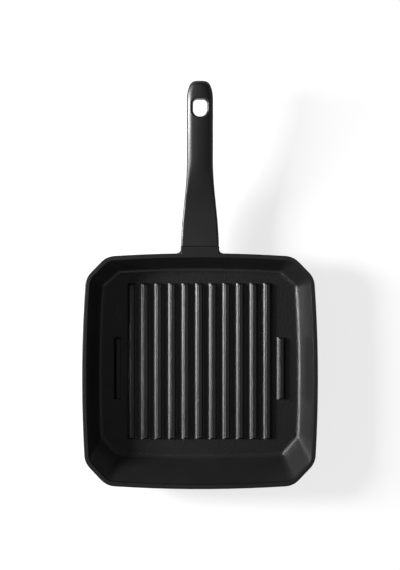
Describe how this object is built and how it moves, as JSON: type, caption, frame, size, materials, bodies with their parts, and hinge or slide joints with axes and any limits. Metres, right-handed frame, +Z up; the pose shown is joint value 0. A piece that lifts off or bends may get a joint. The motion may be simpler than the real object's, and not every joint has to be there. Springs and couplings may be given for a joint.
{
  "type": "square grill pan",
  "caption": "Square cast grill pan with cut corners, a ribbed floor, a steel base plate and a fixed two-shell handle with a hanging hole.",
  "frame": {"origin": "middle of the pan's underside, on the surface that the pan stands on", "axes": "+Z up out of the pan, +Y along the handle away from the pan, +X across the ribs"},
  "size_m": [0.2804, 0.4803, 0.074],
  "materials": {
    "coated_casting": "fine-grained black non-stick coating on cast aluminium",
    "steel_plate": "brushed stainless steel",
    "handle_plastic": "satin black heatproof moulding",
    "zinc_steel": "bright zinc plating",
    "brass": "turned brass"
  },
  "bodies": {
    "root": {"pan_body": "coated_casting", "base_plate": "steel_plate", "handle_upper_shell": "handle_plastic", "handle_lower_shell": "handle_plastic", "tongue_screws": "zinc_steel", "spring_washers": "zinc_steel", "flat_washers": "zinc_steel", "threaded_inserts": "brass", "grip_screws": "zinc_steel"}
  },
  "joints": []
}
